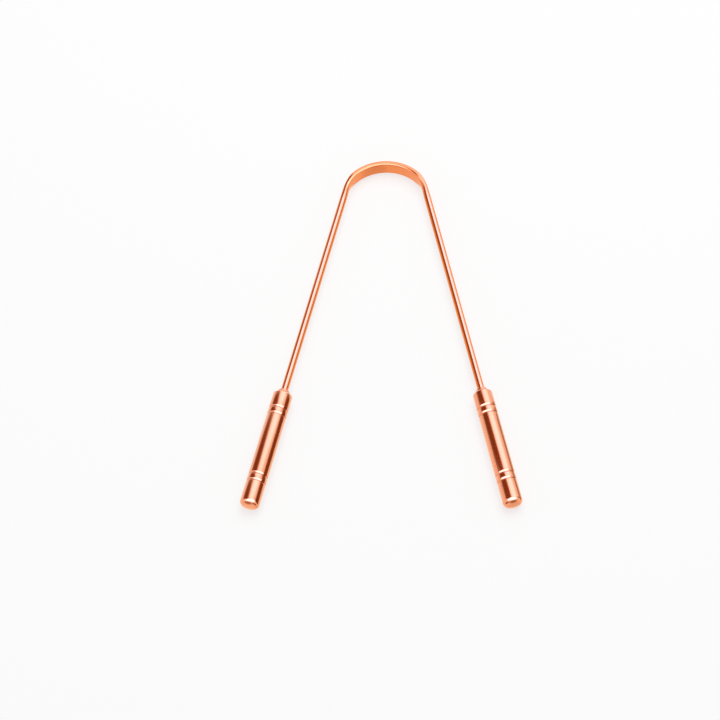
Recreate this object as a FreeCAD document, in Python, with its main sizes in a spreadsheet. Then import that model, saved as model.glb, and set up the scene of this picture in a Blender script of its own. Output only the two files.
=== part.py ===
import FreeCAD, Part
import math
import os
import Sketcher

# Driving sizes: lengths in millimetres and angles in degrees.
SIZES = {
    # the bow: its flat blade, the arch that it is bent to and the round wire of its arms
    "wire_diameter": 2.6,
    "blade_width": 5.9,
    "blade_thickness": 2.0,
    "blade_face_angle": 2.0,
    "wire_face_angle": 45.0,
    "crown_radius": 16.75,
    "crown_half_angle": 45.0,
    "shoulder_radius": 12.59,
    "splay_angle": 13.0,
    "arm_length": 92.4,
    "taper_runout": 4.8,
    # a turned handle, measured along its axis from the mouth that the wire enters
    "handle_length": 49.7,
    "handle_diameter": 7.2,
    "collar_diameter": 4.4,
    "collar_height": 1.0,
    "collar_bevel": 0.3,
    "shoulder_bevel": 1.1,
    "end_dome_radius": 8.0,
    "end_round": 1.6,
    "ring_width": 1.0,
    "ring_depth": 0.35,
    "ring_pitch": 2.8,
    "mouth_to_ring": 8.5,
    "end_to_ring": 9.9,
    "socket_depth": 14.0,
    "socket_clearance": 0.03,
}
# The flat blade turns into the round wire along each shoulder's bend and a short run-out on the arm.
BEND_STEPS = 6
RUNOUT_STEPS = 4

doc = FreeCAD.newDocument("tongue_scraper")
sheet = doc.addObject("Spreadsheet::Sheet", "sizes")
for row, (alias, value) in enumerate(SIZES.items(), start=1):
    sheet.set(f"A{row}", alias)
    sheet.set(f"B{row}", str(value))
    sheet.setAlias(f"B{row}", alias)
doc.recompute()

# Places worked out from the sizes. The bow is drawn about the centre of its crown arc, in the plane
# that the arms and both handle axes lie in.
CENTRE_STEP = "(sizes.crown_radius - sizes.shoulder_radius)"
SHOULDER_X = f"({CENTRE_STEP} * sin(sizes.crown_half_angle))"
SHOULDER_Y = f"({CENTRE_STEP} * cos(sizes.crown_half_angle))"
SHOULDER_SWEEP = "(90 - sizes.splay_angle - sizes.crown_half_angle)"
MOUTH_X = (
    f"({SHOULDER_X} + sizes.shoulder_radius * cos(sizes.splay_angle)"
    " + sizes.arm_length * sin(sizes.splay_angle))"
)
MOUTH_Y = (
    f"({SHOULDER_Y} + sizes.shoulder_radius * sin(sizes.splay_angle)"
    " - sizes.arm_length * cos(sizes.splay_angle))"
)
# The part is centred on the origin along Y, between the crown and the domed ends, and lies on its handles.
HIGHEST_Y = "(sizes.crown_radius + sizes.blade_thickness / 2)"
LOWEST_Y = (
    f"({MOUTH_Y} - (sizes.handle_length - sizes.end_dome_radius) * cos(sizes.splay_angle)"
    " - sizes.end_dome_radius)"
)
CROWN_CENTRE_Y = f"(-({HIGHEST_Y} + {LOWEST_Y}) / 2)"
LIE_HEIGHT = "(max(sizes.handle_diameter; sizes.blade_width) / 2)"
BAR_RADIUS = "(sizes.handle_diameter / 2)"
COLLAR_RADIUS = "(sizes.collar_diameter / 2)"
DOME_CENTRE = "(sizes.handle_length - sizes.end_dome_radius)"
ROUND_CENTRE = f"({BAR_RADIUS} - sizes.end_round)"
ROUND_RISE = f"sqrt((sizes.end_dome_radius - sizes.end_round) ^ 2 - {ROUND_CENTRE} ^ 2)"
DOME_SHARE = "(sizes.end_dome_radius / (sizes.end_dome_radius - sizes.end_round))"


def number(expression):
    return float(sheet.evalExpression(expression))


def point_at(place):
    return FreeCAD.Vector(number(place[0]), number(place[1]), 0)


def add_body(name):
    body = doc.addObject("PartDesign::Body", name)
    body.Label = name
    return body


def origin_item(body, role):
    return next(item for item in body.Origin.OriginFeatures if item.Role == role)


def add_sketch(body, name, role):
    sketch = body.newObject("Sketcher::SketchObject", name)
    sketch.AttachmentSupport = [(origin_item(body, role), "")]
    sketch.MapMode = "FlatFace"
    return sketch


def bind(sketch, expression, kind, *where):
    index = sketch.addConstraint(Sketcher.Constraint(kind, *where, number(expression)))
    sketch.setExpression(f"Constraints[{index}]", expression)


def bind_point(sketch, place, curve, end):
    bind(sketch, place[0], "DistanceX", curve, end)
    bind(sketch, place[1], "DistanceY", curve, end)


def add_circle(sketch, centre, radius):
    circle = Part.Circle(point_at(centre), FreeCAD.Vector(0, 0, 1), number(radius))
    curve = sketch.addGeometry(circle)
    bind_point(sketch, centre, curve, 3)
    bind(sketch, radius, "Radius", curve)


def add_line(sketch, start, end):
    return sketch.addGeometry(Part.LineSegment(point_at(start), point_at(end)))


def add_arc(sketch, centre, start, end):
    first = point_at(start) - point_at(centre)
    last = point_at(end) - point_at(centre)
    circle = Part.Circle(point_at(centre), FreeCAD.Vector(0, 0, 1), first.Length)
    arc = Part.ArcOfCircle(circle, math.atan2(first.y, first.x), math.atan2(last.y, last.x))
    return sketch.addGeometry(arc)


def close_outline(sketch, curves, corners):
    for curve, following, corner in zip(curves, curves[1:] + curves[:1], corners):
        sketch.addConstraint(Sketcher.Constraint("Coincident", curve, 2, following, 1))
        bind_point(sketch, corner, curve, 1)


# Closed section of four arcs that meet in tangents: two faces and two edges. Equal width and
# thickness make it a circle, and a small face angle makes it a flat strip with round edges.
def draw_section(sketch, reach, width, thickness, face_angle):
    half = f"({width} / 2)"
    deep = f"({thickness} / 2)"
    sine = f"sin({face_angle})"
    cosine = f"cos({face_angle})"
    face_radius = f"(({half} * {cosine} - {deep} * (1 - {sine})) / ({sine} + {cosine} - 1))"
    edge_radius = f"(({deep} * {sine} - {half} * (1 - {cosine})) / ({sine} + {cosine} - 1))"
    outer = f"({reach} + {edge_radius} * {cosine})"
    inner = f"({reach} - {edge_radius} * {cosine})"
    above = f"({face_radius} * {sine})"
    below = f"(-{face_radius} * {sine})"
    corners = [(outer, below), (outer, above), (inner, above), (inner, below)]
    centres = [
        (f"({reach} + {deep} - {face_radius})", "0"),
        (reach, f"({half} - {edge_radius})"),
        (f"({reach} - {deep} + {face_radius})", "0"),
        (reach, f"({edge_radius} - {half})"),
    ]
    curves = []
    for centre, start, end in zip(centres, corners, corners[1:] + corners[:1]):
        curves.append(add_arc(sketch, centre, start, end))
    close_outline(sketch, curves, corners)
    for curve, centre in zip(curves[0::2], centres[0::2]):
        bind(sketch, centre[0], "DistanceX", curve, 3)
    for curve, centre in zip(curves[1::2], centres[1::2]):
        bind(sketch, centre[1], "DistanceY", curve, 3)


# Section across a shoulder of the bow. Width and thickness change by ratio from the blade's to the
# wire's, and the taper eases in and out along the way.
def add_shoulder_section(body, step):
    way_share = step / (BEND_STEPS + RUNOUT_STEPS)
    wire_share = way_share * way_share * (3 - 2 * way_share)
    bend_share = min(step, BEND_STEPS) / BEND_STEPS
    runout_share = max(step - BEND_STEPS, 0) / RUNOUT_STEPS
    sketch = add_sketch(body, f"shoulder_section_{step}", "YZ_Plane")
    runout = f"sizes.taper_runout * {runout_share}"
    centre_x = f"({SHOULDER_X} + {runout} * sin(sizes.splay_angle))"
    centre_y = f"({SHOULDER_Y} - {runout} * cos(sizes.splay_angle))"
    turn = f"rotation(vector(0; 1; 0); -sizes.crown_half_angle - {SHOULDER_SWEEP} * {bend_share})"
    sketch.setExpression("AttachmentOffset", f"placement(vector({centre_y}; 0; {centre_x}); {turn})")
    draw_section(
        sketch,
        "sizes.shoulder_radius",
        f"(sizes.blade_width * (sizes.wire_diameter / sizes.blade_width) ^ {wire_share})",
        f"(sizes.blade_thickness * (sizes.wire_diameter / sizes.blade_thickness) ^ {wire_share})",
        f"(sizes.blade_face_angle + (sizes.wire_face_angle - sizes.blade_face_angle) * {wire_share})",
    )
    return sketch


# One unbroken bar: a broad flat blade along the crown, a shoulder at each side that tapers from the
# blade to round wire, and two arms that run on into the handles as plain tails.
def make_bow():
    body = add_body("scraper_bow")
    section = add_sketch(body, "blade_section", "YZ_Plane")
    draw_section(
        section, "sizes.crown_radius", "sizes.blade_width", "sizes.blade_thickness", "sizes.blade_face_angle"
    )
    blade = body.newObject("PartDesign::Revolution", "blade")
    blade.Profile = section
    blade.ReferenceAxis = (origin_item(body, "Z_Axis"), [""])
    blade.Midplane = True
    blade.setExpression("Angle", "2 * sizes.crown_half_angle")

    sections = [add_shoulder_section(body, step) for step in range(BEND_STEPS + RUNOUT_STEPS + 1)]
    shoulder = body.newObject("PartDesign::AdditiveLoft", "shoulder")
    shoulder.Profile = sections[0]
    shoulder.Sections = sections[1:]

    arm = body.newObject("PartDesign::Pad", "arm")
    arm.Profile = sections[-1]
    arm.setExpression("Length", "sizes.arm_length - sizes.taper_runout + sizes.socket_depth")

    both_sides = body.newObject("PartDesign::Mirrored", "both_sides")
    both_sides.Originals = [shoulder, arm]
    both_sides.MirrorPlane = (origin_item(body, "YZ_Plane"), [""])
    body.Tip = both_sides
    base = f"vector(0; {CROWN_CENTRE_Y}; {LIE_HEIGHT})"
    body.setExpression("Placement", f"placement({base}; rotation(0; 0; 0))")
    return body


# Solid turned bar: a small collar at the mouth, a bevelled shoulder, two pairs of ring grooves, and a
# domed end with a round rim. The wire's tail fills a blind socket down to its floor.
def make_handle(name, side):
    body = add_body(name)
    profile = add_sketch(body, f"{name}_profile", "XZ_Plane")
    corners = [
        ("0", "0"),
        (f"({COLLAR_RADIUS} - sizes.collar_bevel)", "0"),
        (COLLAR_RADIUS, "sizes.collar_bevel"),
        (COLLAR_RADIUS, "sizes.collar_height"),
        (f"({BAR_RADIUS} - sizes.shoulder_bevel)", "sizes.collar_height"),
        (BAR_RADIUS, "(sizes.collar_height + sizes.shoulder_bevel)"),
        (BAR_RADIUS, f"({DOME_CENTRE} + {ROUND_RISE})"),
        (f"({ROUND_CENTRE} * {DOME_SHARE})", f"({DOME_CENTRE} + {ROUND_RISE} * {DOME_SHARE})"),
        ("0", "sizes.handle_length"),
    ]
    curves = [add_line(profile, start, end) for start, end in zip(corners[:6], corners[1:7])]
    curves.append(add_arc(profile, (ROUND_CENTRE, corners[6][1]), corners[6], corners[7]))
    curves.append(add_arc(profile, ("0", DOME_CENTRE), corners[7], corners[8]))
    curves.append(add_line(profile, corners[8], corners[0]))
    close_outline(profile, curves, corners)
    bind(profile, "sizes.end_round", "Radius", curves[6])
    bind(profile, "sizes.end_dome_radius", "Radius", curves[7])
    axis = (origin_item(body, "Z_Axis"), [""])
    bar = body.newObject("PartDesign::Revolution", f"{name}_bar")
    bar.Profile = profile
    bar.ReferenceAxis = axis
    bar.Angle = 360

    tools = add_sketch(body, f"{name}_ring_tools", "XZ_Plane")
    for first in ("sizes.mouth_to_ring", "(sizes.handle_length - sizes.end_to_ring - sizes.ring_pitch)"):
        for ring in range(2):
            middle = f"({first} + {ring} * sizes.ring_pitch)"
            above = (f"({BAR_RADIUS} + sizes.ring_depth)", f"({middle} - sizes.ring_width)")
            below = (f"({BAR_RADIUS} + sizes.ring_depth)", f"({middle} + sizes.ring_width)")
            tool = [(f"({BAR_RADIUS} - sizes.ring_depth)", middle), above, below]
            sides = [add_line(tools, start, end) for start, end in zip(tool, tool[1:] + tool[:1])]
            close_outline(tools, sides, tool)
    rings = body.newObject("PartDesign::Groove", f"{name}_rings")
    rings.Profile = tools
    rings.ReferenceAxis = axis
    rings.Angle = 360
    doc.recompute()

    mouth = add_sketch(body, f"{name}_mouth", "XY_Plane")
    add_circle(mouth, ("0", "0"), "(sizes.wire_diameter / 2 + sizes.socket_clearance)")
    socket = body.newObject("PartDesign::Pocket", f"{name}_socket")
    socket.Profile = mouth
    socket.Reversed = True
    socket.setExpression("Length", "sizes.socket_depth")
    body.Tip = socket
    base = f"vector({side} * {MOUTH_X}; {MOUTH_Y} + {CROWN_CENTRE_Y}; {LIE_HEIGHT})"
    body.setExpression("Placement", f"placement({base}; rotation({side} * sizes.splay_angle; 0; 90))")
    doc.recompute()
    for cut, uncut in ((rings, bar), (socket, rings)):
        if not cut.Shape.Volume < uncut.Shape.Volume:
            raise RuntimeError(f"{cut.Name} removes nothing")
    return body


bodies = [make_bow(), make_handle("left_handle", -1), make_handle("right_handle", 1)]
doc.recompute()
for item in doc.Objects:
    if "Invalid" in item.State or "Error" in item.State:
        raise RuntimeError(f"{item.Name} failed: {item.State}")
os.makedirs("parts", exist_ok=True)
for body in bodies:
    if body.Shape.isNull() or not body.Shape.isValid() or len(body.Shape.Solids) != 1:
        raise RuntimeError(f"{body.Label} is not one sound solid")
    body.Shape.exportStep(f"parts/{body.Label}.step")
    print(f"{body.Label}: {body.Shape.Volume:.1f} cubic mm")
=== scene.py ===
import math

import bmesh
import bpy
from mathutils import Matrix, Vector


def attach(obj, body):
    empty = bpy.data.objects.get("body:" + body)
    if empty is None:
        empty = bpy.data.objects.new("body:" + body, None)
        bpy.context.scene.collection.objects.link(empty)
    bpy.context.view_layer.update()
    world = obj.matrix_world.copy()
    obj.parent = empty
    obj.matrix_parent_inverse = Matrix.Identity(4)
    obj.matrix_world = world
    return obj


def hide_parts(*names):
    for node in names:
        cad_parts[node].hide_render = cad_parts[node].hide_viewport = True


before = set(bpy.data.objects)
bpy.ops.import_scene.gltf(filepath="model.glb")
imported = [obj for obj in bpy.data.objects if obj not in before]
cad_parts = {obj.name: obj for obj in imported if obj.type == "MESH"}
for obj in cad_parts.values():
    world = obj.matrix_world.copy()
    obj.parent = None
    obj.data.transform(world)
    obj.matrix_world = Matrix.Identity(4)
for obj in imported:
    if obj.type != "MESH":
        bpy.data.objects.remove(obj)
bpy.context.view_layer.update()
mm = 0.001
print("frame loaded")


def alone(obj):
    bpy.ops.object.select_all(action="DESELECT")
    obj.select_set(True)
    bpy.context.view_layer.objects.active = obj


def settle(obj):
    alone(obj)
    bpy.ops.object.transform_apply(location=True, rotation=True, scale=True)


def pointValues(mesh, name, values):
    layer = mesh.attributes.new(name, "FLOAT", "POINT")
    layer.data.foreach_set("value", values)


# handle, turned once along -Z with its mouth at the origin
handle = {
    "barRadius": 3.6,
    "length": 49.7,
    "collarRadius": 2.2,
    "collarHeight": 1.0,
    "collarBevel": 0.3,
    "shoulderBevel": 1.1,
    "endRound": 1.6,
    "domeRadius": 8.0,
    "grooves": (8.5, 11.3, 37.0, 39.8),
    "grooveHalf": 0.5,
    "grooveDepth": 0.35,
    "boreRadius": 1.33,
    "boreDepth": 14.0,
    "boreLip": 0.18,
    "softEdge": 0.07,
    "softSegments": 2,
    "softAngle": 20,
    "smoothAngle": 32,
    "steps": 112,
    "rimSteps": 14,
    "domeSteps": 12,
    "mergeGap": 0.002,
    "grooveReach": 1.2,  # how far past a groove the darker, rougher band spreads
    "foot": (2.3, 0.4),  # radius and reach of the darker, rougher patch at the collar's foot
    "splay": 13.0,
    "mouth": (35.9944, -26.6884, 3.6),
}


def handleProfile():
    h = handle
    bar, end = h["barRadius"], h["endRound"]
    dome = h["domeRadius"]
    lip = h["boreLip"]
    shoulder = bar - h["shoulderBevel"]
    walk = [(0.0, h["boreDepth"]), (h["boreRadius"], h["boreDepth"])]
    walk += [(h["boreRadius"], lip), (h["boreRadius"] + lip, 0.0)]
    walk += [(h["collarRadius"] - h["collarBevel"], 0.0), (h["collarRadius"], h["collarBevel"])]
    walk += [(h["collarRadius"], h["collarHeight"]), (shoulder, h["collarHeight"])]
    walk += [(bar, h["collarHeight"] + h["shoulderBevel"])]
    for place in h["grooves"]:
        walk += [(bar, place - h["grooveHalf"]), (bar - h["grooveDepth"], place)]
        walk += [(bar, place + h["grooveHalf"])]
    # the rim's arc runs over into the dome where both share a tangent
    inset = bar - end
    rise = math.sqrt((dome - end) ** 2 - inset ** 2)
    domeCentre = h["length"] - dome
    rimCentre = domeCentre + rise
    meet = math.atan2(inset, rise)
    for step in range(h["rimSteps"] + 1):
        turn = (math.pi / 2 - meet) * step / h["rimSteps"]
        walk.append((inset + end * math.cos(turn), rimCentre + end * math.sin(turn)))
    for step in range(1, h["domeSteps"] + 1):
        turn = meet * (1 - step / h["domeSteps"])
        walk.append((dome * math.sin(turn), domeCentre + dome * math.cos(turn)))
    return walk


def turnHandle():
    h = handle
    walk = handleProfile()
    bpy.ops.object.select_all(action="DESELECT")
    bpy.ops.mesh.primitive_plane_add(size=mm)
    obj = bpy.context.object
    obj.name = "turnedHandle"
    bpy.ops.object.mode_set(mode="EDIT")
    bpy.ops.mesh.select_all(action="SELECT")
    bpy.ops.mesh.merge(type="CENTER")
    radius, depth = walk[0]
    bpy.ops.transform.translate(value=(radius * mm, 0, -depth * mm))
    for nextRadius, nextDepth in walk[1:]:
        stride = ((nextRadius - radius) * mm, 0, (depth - nextDepth) * mm)
        bpy.ops.mesh.extrude_vertices_move(TRANSFORM_OT_translate={"value": stride})
        radius, depth = nextRadius, nextDepth
    bpy.ops.mesh.select_all(action="SELECT")
    bpy.ops.mesh.spin(steps=h["steps"], angle=math.tau, center=(0, 0, 0), axis=(0, 0, 1))
    bpy.ops.mesh.select_all(action="SELECT")
    bpy.ops.mesh.remove_doubles(threshold=h["mergeGap"] * mm)
    bpy.ops.mesh.normals_make_consistent(inside=False)
    bpy.ops.object.mode_set(mode="OBJECT")
    soft = obj.modifiers.new("soft", "BEVEL")
    soft.width = h["softEdge"] * mm
    soft.segments = h["softSegments"]
    soft.limit_method = "ANGLE"
    soft.angle_limit = math.radians(h["softAngle"])
    bpy.ops.object.modifier_apply(modifier="soft")
    bpy.ops.object.shade_smooth_by_angle(angle=math.radians(h["smoothAngle"]))
    along, recess = [], []
    footRadius, footReach = h["foot"]
    for vertex in obj.data.vertices:
        radius = math.hypot(vertex.co.x, vertex.co.y) / mm
        depth = -vertex.co.z / mm
        along.append(depth + h["barRadius"] - radius)
        near = min(abs(depth - place) for place in h["grooves"])
        inGroove = near < h["grooveHalf"] * h["grooveReach"]
        sunk = (h["barRadius"] - radius) / h["grooveDepth"] if inGroove else 0.0
        foot = 1.0 - min(1.0, math.hypot(radius - footRadius, depth - h["collarHeight"]) / footReach)
        recess.append(max(0.0, min(1.0, sunk), foot))
    pointValues(obj.data, "alongBar", along)
    pointValues(obj.data, "recess", recess)
    return obj


def placeHandle(obj, side):
    x, y, z = handle["mouth"]
    alone(obj)
    lay = Matrix.Rotation(math.radians(-90), 4, "X")  # -Z to -Y
    splay = Matrix.Rotation(math.radians(handle["splay"]) * side, 4, "Z")
    obj.matrix_world = Matrix.Translation((x * side * mm, y * mm, z * mm)) @ splay @ lay
    settle(obj)


rightHandle = turnHandle()
rightHandle.name = "rightTurnedHandle"
leftHandle = rightHandle.copy()
leftHandle.data = rightHandle.data.copy()
leftHandle.name = "leftTurnedHandle"
bpy.context.collection.objects.link(leftHandle)
placeHandle(rightHandle, 1)
placeHandle(leftHandle, -1)
print("handles turned")


# bow, one length of metal: flat blade over the crown, eased to round wire past each shoulder
bow = {
    "wire": 2.6,
    "bladeWidth": 5.9,
    "bladeThick": 2.0,
    "corner": 0.6,
    "arcAngles": ((2.0, 30.0), (20.0, 30.0)),
    "crownRadius": 16.75,
    "crownHalf": 45.0,
    "crownCentre": (0.0, 57.5697),
    "shoulderRadius": 12.59,
    "shoulderHalf": 77.0,
    "runOut": 4.8,
    "bendShare": 0.6,
    "arm": 92.4,
    "tail": 13.9,
    "height": 3.6,
    "quarterSteps": (4, 9, 5),  # points on a section's face, corner and edge arcs
    "crownSteps": 26,
    "bendSteps": 28,
    "runOutSteps": 20,
    "armSteps": 40,
    "smoothAngle": 40,
}


def section(width, thick, ease):
    # three arcs to a quarter: face, corner and edge; the first and last take what the corner leaves
    a, b = width / 2, thick / 2
    faceSteps, cornerSteps, edgeSteps = bow["quarterSteps"]
    face, edge = (math.radians(blade + (wire - blade) * ease) for blade, wire in bow["arcAngles"])
    corner = bow["corner"] * (bow["wire"] / 2 / bow["corner"]) ** ease
    faceOut, faceUp = 1 - math.cos(face), math.sin(face)
    edgeOut, edgeUp = math.sin(edge), 1 - math.cos(edge)
    needOut = b - corner * (math.cos(face) - math.sin(edge))
    needUp = a - corner * (math.cos(edge) - math.sin(face))
    spread = faceUp * edgeOut - faceOut * edgeUp
    faceRadius = (needUp * edgeOut - needOut * edgeUp) / spread
    edgeRadius = (needOut * faceUp - needUp * faceOut) / spread
    upright = math.pi / 2
    turns = [(face * step / faceSteps, faceRadius) for step in range(1, faceSteps + 1)]
    for step in range(1, cornerSteps + 1):
        turns.append((face + (upright - edge - face) * step / cornerSteps, corner))
    for step in range(1, edgeSteps + 1):
        turns.append((upright - edge + edge * step / edgeSteps, edgeRadius))
    quarter = [(b, 0.0)]
    last = 0.0
    for turn, radius in turns:
        out, up = quarter[-1]
        out += radius * (math.cos(turn) - math.cos(last))
        up += radius * (math.sin(turn) - math.sin(last))
        quarter.append((out, up))
        last = turn
    upper = quarter + [(-out, up) for out, up in reversed(quarter[:-1])]
    return upper + [(out, -up) for out, up in reversed(upper[1:-1])]


def halfPath():
    # (x, y, outward angle, taper share, distance) from the crown's middle down the right arm
    crownX, crownY = bow["crownCentre"]
    big, small = bow["crownRadius"], bow["shoulderRadius"]
    turnA, turnB = math.radians(bow["crownHalf"]), math.radians(bow["shoulderHalf"])
    path = []
    for step in range(bow["crownSteps"] + 1):
        turn = turnA * step / bow["crownSteps"]
        path.append((crownX + big * math.sin(turn), crownY + big * math.cos(turn), turn, 0.0, big * turn))
    bendX = crownX + (big - small) * math.sin(turnA)
    bendY = crownY + (big - small) * math.cos(turnA)
    start = big * turnA
    for step in range(1, bow["bendSteps"] + 1):
        share = step / bow["bendSteps"]
        turn = turnA + (turnB - turnA) * share
        path.append((
            bendX + small * math.sin(turn), bendY + small * math.cos(turn), turn,
            bow["bendShare"] * share, start + small * (turn - turnA),
        ))
    x, y = path[-1][:2]
    start = path[-1][4]
    runSteps, armSteps = bow["runOutSteps"], bow["armSteps"]
    strides = [bow["runOut"] * step / runSteps for step in range(1, runSteps + 1)]
    plain = bow["arm"] + bow["tail"] - bow["runOut"]
    strides += [bow["runOut"] + plain * step / armSteps for step in range(1, armSteps + 1)]
    for stride in strides:
        share = min(1.0, bow["bendShare"] + (1 - bow["bendShare"]) * stride / bow["runOut"])
        path.append((
            x + stride * math.cos(turnB), y - stride * math.sin(turnB), turnB,
            share, start + stride,
        ))
    return path


def stations():
    right = halfPath()
    left = [(-x, y, -turn, share, -way) for x, y, turn, share, way in reversed(right[1:])]
    return left + right


def ringPlaces(station):
    x, y, turn, share, way = station
    ease = share * share * (3 - 2 * share)
    width = bow["bladeWidth"] * (bow["wire"] / bow["bladeWidth"]) ** ease
    thick = bow["bladeThick"] * (bow["wire"] / bow["bladeThick"]) ** ease
    outX, outY = math.sin(turn), math.cos(turn)
    return [
        Vector(((x + out * outX) * mm, (y + out * outY) * mm, (bow["height"] + up) * mm))
        for out, up in section(width, thick, ease)
    ]


def drawBow():
    path = stations()
    bpy.ops.object.select_all(action="DESELECT")
    points = 4 * sum(bow["quarterSteps"])
    bpy.ops.mesh.primitive_circle_add(vertices=points, radius=mm, fill_type="NGON")
    obj = bpy.context.object
    obj.name = "scraperBowDrawn"
    bpy.ops.object.mode_set(mode="EDIT")
    bpy.ops.mesh.select_all(action="SELECT")
    mesh = bmesh.from_edit_mesh(obj.data)
    wayLayer = mesh.verts.layers.float.new("alongWire")
    aroundLayer = mesh.verts.layers.float.new("aroundWire")
    bladeLayer = mesh.verts.layers.float.new("bladeShare")
    ring = sorted(mesh.verts, key=lambda vertex: math.atan2(vertex.co.y, vertex.co.x) % math.tau)
    for count, station in enumerate(path):
        if count:
            kept = {vertex.co.to_tuple(9): place for place, vertex in enumerate(ring)}
            bpy.ops.mesh.extrude_region_move()
            mesh = bmesh.from_edit_mesh(obj.data)
            wayLayer = mesh.verts.layers.float["alongWire"]
            aroundLayer = mesh.verts.layers.float["aroundWire"]
            bladeLayer = mesh.verts.layers.float["bladeShare"]
            fresh = [vertex for vertex in mesh.verts if vertex.select]
            ring = sorted(fresh, key=lambda vertex: kept[vertex.co.to_tuple(9)])
        places = ringPlaces(station)
        for place, vertex in enumerate(ring):
            vertex.co = places[place]
            vertex[wayLayer] = station[4]
            vertex[aroundLayer] = abs(2 * place / len(ring) - 1)  # folds back, so there is no seam
            vertex[bladeLayer] = 1 - station[3]
        bmesh.update_edit_mesh(obj.data)
    bpy.ops.mesh.select_all(action="SELECT")
    bpy.ops.mesh.normals_make_consistent(inside=False)
    bpy.ops.object.mode_set(mode="OBJECT")
    bpy.ops.object.shade_smooth_by_angle(angle=math.radians(bow["smoothAngle"]))
    settle(obj)
    return obj


scraperBow = drawBow()
print("bow drawn")


class Sock:
    def __init__(self, tree, socket):
        self.tree = tree
        self.socket = socket

    def sum(self, operation, other, swap=False):
        node = self.tree.nodes.new("ShaderNodeMath")
        node.operation = operation
        pair = (other, self) if swap else (self, other)
        for place, item in zip(node.inputs, pair):
            if isinstance(item, Sock):
                self.tree.links.new(item.socket, place)
            else:
                place.default_value = item
        return Sock(self.tree, node.outputs[0])

    def __add__(self, other):
        return self.sum("ADD", other)

    def __radd__(self, other):
        return self.sum("ADD", other, True)

    def __sub__(self, other):
        return self.sum("SUBTRACT", other)

    def __rsub__(self, other):
        return self.sum("SUBTRACT", other, True)

    def __mul__(self, other):
        return self.sum("MULTIPLY", other)

    def __rmul__(self, other):
        return self.sum("MULTIPLY", other, True)

    def __pow__(self, other):
        return self.sum("POWER", other)

    def clamp(self):
        return self.sum("MAXIMUM", 0.0).sum("MINIMUM", 1.0)


class Graph:
    def __init__(self, tree):
        self.tree = tree
        tree.nodes.clear()

    def add(self, kind, settings=None, sockets=None, out=0):
        node = self.tree.nodes.new(kind)
        for key, value in (settings or {}).items():
            setattr(node, key, value)
        for key, value in (sockets or {}).items():
            if isinstance(value, Sock):
                self.tree.links.new(value.socket, node.inputs[key])
            else:
                node.inputs[key].default_value = value
        return Sock(self.tree, node.outputs[out]) if len(node.outputs) else None

    def attribute(self, name):
        return self.add("ShaderNodeAttribute", {"attribute_name": name}, out="Fac")

    def blend(self, share, first, second):
        settings = {"data_type": "RGBA"}
        return self.add("ShaderNodeMix", settings, {0: share, 6: first, 7: second}, out=2)

    def noise(self, scale, detail, rough, vector=None, w=None):
        sockets = {"Scale": scale, "Detail": detail, "Roughness": rough}
        if w is not None:
            return self.add("ShaderNodeTexNoise", {"noise_dimensions": "1D"}, {**sockets, "W": w})
        return self.add("ShaderNodeTexNoise", None, {**sockets, "Vector": vector})


def newFinish(name):
    material = bpy.data.materials.new(name)
    material.use_nodes = True
    return material, Graph(material.node_tree)


copper = {
    "bright": (0.930, 0.305, 0.112, 1),
    "warm": (0.880, 0.255, 0.085, 1),
    "orange": (0.930, 0.265, 0.055, 1),
    "deep": (0.870, 0.220, 0.042, 1),
    "peach": (0.925, 0.285, 0.092, 1),
    "russet": (0.860, 0.238, 0.072, 1),
    # the dark tone that the grooves and the collar's foot take
    "recessDarkTone": (0.300, 0.075, 0.022, 1),
}


# each noise is its scale, detail and roughness
turnedLook = {
    "cloud": (90.0, 3.0, 0.5),
    "patch": (420.0, 4.0, 0.6),
    "fine": (9.0, 3.0, 0.65),
    "broad": (1.6, 2.0, 0.5),
    "cloudShare": 0.6,
    "toneStart": 0.35,
    "toneGain": 2.2,
    "recessDark": 0.3,
    "recessDarkBase": 0.55,
    "recessDarkPatch": 0.7,
    "rough": 0.13,
    "fineRough": 0.10,
    "patchRough": 0.05,
    "recessRough": 0.06,
    "lineStrength": 0.12,
    "lineHeight": 0.00002,
    "coat": 0.85,
    "recessDarkCoatLoss": 0.6,
    "coatRough": 0.15,
    "coatIor": 2.2,
}


def turnedCopper():
    look = turnedLook
    material, g = newFinish("turnedCopper")
    along = g.attribute("alongBar")
    recess = g.attribute("recess")
    place = g.add("ShaderNodeTexCoord", out="Object")
    cloud = g.noise(*look["cloud"], vector=place)
    patch = g.noise(*look["patch"], vector=place)
    fine = g.noise(*look["fine"], w=along)  # lathe lines
    broad = g.noise(*look["broad"], w=along)
    tone = cloud * look["cloudShare"] + broad * (1 - look["cloudShare"])
    tone = (tone - look["toneStart"]) * look["toneGain"]
    base = g.blend(tone.clamp(), copper["bright"], copper["warm"])
    # the base goes darker deeper in each groove and nearer the collar's foot; the coat thins and the
    # roughness rises there too
    recessDark = (recess * (look["recessDarkBase"] + patch * look["recessDarkPatch"])).clamp() * look["recessDark"]
    base = g.blend(recessDark, base, copper["recessDarkTone"])
    rough = look["rough"] + fine * look["fineRough"]
    rough = rough + patch * look["patchRough"] + recess * look["recessRough"]
    lines = g.add("ShaderNodeBump", None, {
        "Strength": look["lineStrength"], "Distance": look["lineHeight"], "Height": fine,
    })
    shader = g.add("ShaderNodeBsdfPrincipled", None, {
        "Base Color": base, "Metallic": 1.0, "Roughness": rough, "Normal": lines,
        "Coat Weight": look["coat"] - recessDark * look["recessDarkCoatLoss"],
        "Coat Roughness": look["coatRough"], "Coat IOR": look["coatIor"],
    })
    g.add("ShaderNodeOutputMaterial", None, {"Surface": shader})
    return material


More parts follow.
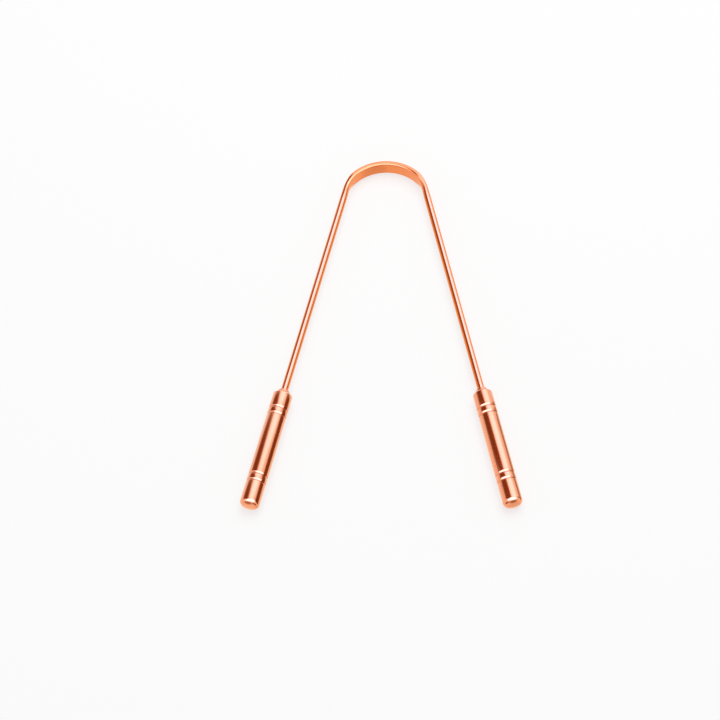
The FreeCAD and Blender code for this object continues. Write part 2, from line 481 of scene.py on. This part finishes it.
polishedLook = {
    "cloud": (70.0, 3.0, 0.5),
    "patch": (380.0, 4.0, 0.6),
    "streak": (1.0, 3.0, 0.6),
    "streakLength": 0.05,
    "streakCount": 60.0,
    "toneStart": 0.3,
    "toneGain": 2.0,
    "metal": 0.82,
    "rough": 0.14,
    "streakRough": 0.06,
    "patchRough": 0.03,
    "lineStrength": 0.10,
    "lineHeight": 0.00001,
    "shineFall": 4.0,
    "bladeCoat": 0.10,
    "coatRough": 0.06,
    "coatIor": 3.4,
}


def polishedCopper():
    look = polishedLook
    material, g = newFinish("polishedCopper")
    along = g.attribute("alongWire")
    around = g.attribute("aroundWire")
    blade = g.attribute("bladeShare")
    place = g.add("ShaderNodeTexCoord", out="Object")
    cloud = g.noise(*look["cloud"], vector=place)
    patch = g.noise(*look["patch"], vector=place)
    drawn = g.add("ShaderNodeCombineXYZ", None, {
        "X": along * look["streakLength"], "Y": around * look["streakCount"], "Z": 0.0,
    })
    streak = g.noise(*look["streak"], vector=drawn)
    tone = (cloud - look["toneStart"]) * look["toneGain"]
    wireTone = g.blend(tone.clamp(), copper["orange"], copper["deep"])
    bladeTone = g.blend(tone.clamp(), copper["peach"], copper["russet"])
    base = g.blend(blade, wireTone, bladeTone)
    rough = look["rough"] + streak * look["streakRough"] + patch * look["patchRough"]
    offTop = around - 0.5  # half way round is the top and the underside
    shine = (1.0 - (offTop * offTop) ** 0.5 * look["shineFall"]).clamp() * (1.0 - blade)
    lines = g.add("ShaderNodeBump", None, {
        "Strength": look["lineStrength"], "Distance": look["lineHeight"], "Height": streak,
    })
    shader = g.add("ShaderNodeBsdfPrincipled", None, {
        "Base Color": base, "Metallic": look["metal"], "Roughness": rough, "Normal": lines,
        "Coat Weight": shine + blade * look["bladeCoat"],
        "Coat Roughness": look["coatRough"], "Coat IOR": look["coatIor"],
    })
    g.add("ShaderNodeOutputMaterial", None, {"Surface": shader})
    return material


turned = turnedCopper()
polished = polishedCopper()
for piece, node, slot, finish in (
    (scraperBow, "scraper_bow", "polished_copper", polished),
    (leftHandle, "left_handle", "turned_copper", turned),
    (rightHandle, "right_handle", "turned_copper", turned),
):
    piece.data.materials.clear()
    piece.data.materials.append(finish)
    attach(piece, "root")
    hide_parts(node)
print("finishes set")


# stage: white ground, one soft light overhead, and a white studio
# whose soft boxes and brown cards only the metal mirrors
def aim(azimuth, elevation):
    turn, lift = math.radians(azimuth), math.radians(elevation)
    return Vector((math.sin(turn) * math.cos(lift), math.cos(turn) * math.cos(lift), math.sin(lift)))


overhead = {"azimuth": 15, "elevation": 68, "distance": 1.0, "size": 0.8, "watts": 6.2}
lamp = bpy.data.lights.new("overheadLight", "AREA")
lamp.size = overhead["size"]
lamp.energy = overhead["watts"]
toLamp = aim(overhead["azimuth"], overhead["elevation"])
lampObject = bpy.data.objects.new("overheadLight", lamp)
lampObject.matrix_world = (
    Matrix.Translation(toLamp * overhead["distance"]) @ toLamp.to_track_quat("Z", "Y").to_matrix().to_4x4()
)
lampObject.visible_glossy = False
bpy.context.collection.objects.link(lampObject)

ground = {"size": 6, "drop": 0.01, "paper": (0.86, 0.86, 0.86, 1), "white": (1, 1, 1, 1), "seenWhite": 0.7}
bpy.ops.object.select_all(action="DESELECT")
bpy.ops.mesh.primitive_plane_add(size=ground["size"])
floor = bpy.context.object
floor.name = "whiteFloor"
floor.location.z = -ground["drop"] * mm
floor.visible_glossy = False  # the metal mirrors the studio below it instead
material, g = newFinish("whiteFloor")
seen = g.add("ShaderNodeLightPath", out="Is Camera Ray")
paper = g.add("ShaderNodeBsdfDiffuse", None, {"Color": ground["paper"]})
white = g.add("ShaderNodeEmission", None, {"Color": ground["white"], "Strength": 1.0})
surface = g.add("ShaderNodeMixShader", None, {0: seen * ground["seenWhite"], 1: paper, 2: white})
g.add("ShaderNodeOutputMaterial", None, {"Surface": surface})
floor.data.materials.append(material)

# patches of the mirrored studio: direction, cosines where each starts and is full, and a card's darkness
studio = {
    "box": (aim(27, 50), 0.83, 0.99),
    "boxGlow": 1.05,
    "boxBlue": 0.35,
    "front": (aim(180, 62), 0.79, 0.92),
    "frontSpread": 0.30,
    "frontFoot": (0.30, 0.50),
    "frontGlow": 2.0,
    "frontGreen": 0.12,
    "frontBlue": 0.65,
    "floorStart": (-0.20, -0.60),
    "floorTint": (0.04, -0.06, -0.24),
    "rightCard": (aim(76, 12), 0.955, 0.995, 0.85),
    "leftRoof": (aim(-95, 50), 0.945, 0.985, 0.95),
    "frontCardLeft": (aim(-152, -14), 0.90, 0.965, 0.85),
    "frontCardRight": (aim(160, -14), 0.90, 0.965, 0.85),
    "floorShade": (aim(150, -57), 0.90, 0.99, 0.22),
    "leftCard": (aim(-47, 40), 0.10, 0.30),
    "leftCardAlong": (0.70, -0.04, 0.72),
    "leftCardAcross": (0.40, 0.85, -0.34),
    "leftCardStart": (-0.68, -0.36),
    "leftCardEnd": (0.72, 0.28),
    "leftCardSlant": 1.2,
    "leftCardNear": (-0.50, -0.34),
    "leftCardFar": (0.42, 0.26),
    "leftCardTop": (-0.08, -0.26),
    "level": 0.6,
    "white": (1, 1, 1, 1),
    "brown": (0.23, 0.06, 0.013, 1),
}


def flag(name, corners, colour):
    # a low card by a handle, seen only in the metal and only from its upper face
    bpy.ops.object.select_all(action="DESELECT")
    bpy.ops.mesh.primitive_plane_add(size=mm)
    obj = bpy.context.object
    obj.name = name
    for vertex, corner in zip(obj.data.vertices, corners):
        vertex.co = Vector(corner) * mm
    material, g = newFinish(name)
    glow = g.add("ShaderNodeEmission", None, {"Color": colour, "Strength": 1.0})
    clear = g.add("ShaderNodeBsdfTransparent")
    behind = g.add("ShaderNodeNewGeometry", out="Backfacing")
    card = g.add("ShaderNodeMixShader", None, {0: behind, 1: clear, 2: glow})
    g.add("ShaderNodeOutputMaterial", None, {"Surface": card})
    obj.data.materials.append(material)
    obj.visible_camera = False
    obj.visible_diffuse = False
    obj.visible_shadow = False


flags = {
    "innerFlag": (((-34, -82, 0), (-21.5, -26, 0), (-21, -82, 18), (-8, -14, 18)), studio["brown"]),
    "outerFlag": (((62, -78, 0), (48, -26, 0), (84, -70, 8), (70, -10, 8)), (0.50, 0.30, 0.20, 1)),
}
for name, (corners, colour) in flags.items():
    flag(name, corners, colour)

world = bpy.context.scene.world or bpy.data.worlds.new("studio")
bpy.context.scene.world = world
world.use_nodes = True
g = Graph(world.node_tree)
way = g.add("ShaderNodeTexCoord", out="Generated")


def toward(direction):
    return g.add("ShaderNodeVectorMath", {"operation": "DOT_PRODUCT"}, {0: way, 1: direction}, out="Value")


def ramp(value, low, high):
    settings = {"interpolation_type": "SMOOTHSTEP"}
    return g.add("ShaderNodeMapRange", settings, {"Value": value, "From Min": low, "From Max": high})


def patch(name):
    direction, low, high = studio[name][:3]
    return ramp(toward(direction), low, high)


def past(name):
    return 1.0 - patch(name) * studio[name][3]  # what a card lets through


eastward = toward((1, 0, 0))
upward = toward((0, 0, 1))
aside = (eastward * eastward) ** 0.5
softBox = patch("box")
frontAim, frontLow, frontHigh = studio["front"]
frontal = ramp(toward(frontAim) + aside * studio["frontSpread"], frontLow, frontHigh)
frontal = frontal * ramp(upward, *studio["frontFoot"])
bright = 1.0 + softBox * studio["boxGlow"] + frontal * studio["frontGlow"]

# the left card is a long slanted strip
lengthwise = toward(studio["leftCardAlong"])
crosswise = toward(studio["leftCardAcross"])
leftCard = ramp(lengthwise, *studio["leftCardStart"]) * patch("leftCard")
leftCard = leftCard * ramp(lengthwise + crosswise * studio["leftCardSlant"], *studio["leftCardEnd"])
leftCard = leftCard * ramp(crosswise, *studio["leftCardNear"]) * ramp(crosswise, *studio["leftCardFar"])
leftCard = leftCard * ramp(eastward, *studio["leftCardTop"])
clear = (1.0 - leftCard) * past("rightCard") * past("leftRoof")
clear = clear * past("frontCardLeft") * past("frontCardRight") * past("floorShade")
cards = 1.0 - clear

low = ramp(upward, *studio["floorStart"])  # the floor mirrors warmer than the boxes
redTint, greenTint, blueTint = studio["floorTint"]
glow = g.add("ShaderNodeCombineColor", None, {
    "Red": bright * (1.0 + low * redTint),
    "Green": bright * (1.0 + frontal * studio["frontGreen"] + low * greenTint),
    "Blue": bright * (1.0 + softBox * studio["boxBlue"] + frontal * studio["frontBlue"] + low * blueTint),
})
mirrored = g.blend(cards, glow, studio["brown"])
glossy = g.add("ShaderNodeLightPath", out="Is Glossy Ray")
seen = g.add("ShaderNodeLightPath", out="Is Camera Ray") + glossy
seen = (seen + g.add("ShaderNodeLightPath", out="Is Transmission Ray")).clamp()
sky = g.add("ShaderNodeBackground", None, {
    "Color": g.blend(glossy, studio["white"], mirrored),
    "Strength": studio["level"] + seen * (1 - studio["level"]),
})
g.add("ShaderNodeOutputWorld", None, {"Surface": sky})
print("stage set")


shot = {
    "target": (0, 0, 3.6),
    "distance": 1030.0,
    "elevation": 57.0,
    "azimuth": 3.614,
    "roll": -3.462,
    "lens": 139.125,
    "sensor": 36,
    "shift": (-0.03269, -0.04290),
    "clipStart": 0.01,
}
turn, lift, roll = (math.radians(shot[key]) for key in ("azimuth", "elevation", "roll"))
back = Vector((math.sin(turn) * math.cos(lift), -math.cos(turn) * math.cos(lift), math.sin(lift)))
right = Vector((math.cos(turn), math.sin(turn), 0))
up = back.cross(right)
across = right * math.cos(roll) + up * math.sin(roll)
upright = up * math.cos(roll) - right * math.sin(roll)
eye = (Vector(shot["target"]) + back * shot["distance"]) * mm
cameraData = bpy.data.cameras.new("camera")
cameraData.sensor_width = shot["sensor"]
cameraData.lens = shot["lens"]
cameraData.shift_x, cameraData.shift_y = shot["shift"]
cameraData.clip_start = shot["clipStart"]
camera = bpy.data.objects.new("camera", cameraData)
camera.matrix_world = Matrix((across, upright, back)).transposed().to_4x4()
camera.matrix_world.translation = eye
bpy.context.collection.objects.link(camera)
bpy.context.scene.camera = camera
bpy.context.scene.view_settings.view_transform = "Standard"
print("camera set")
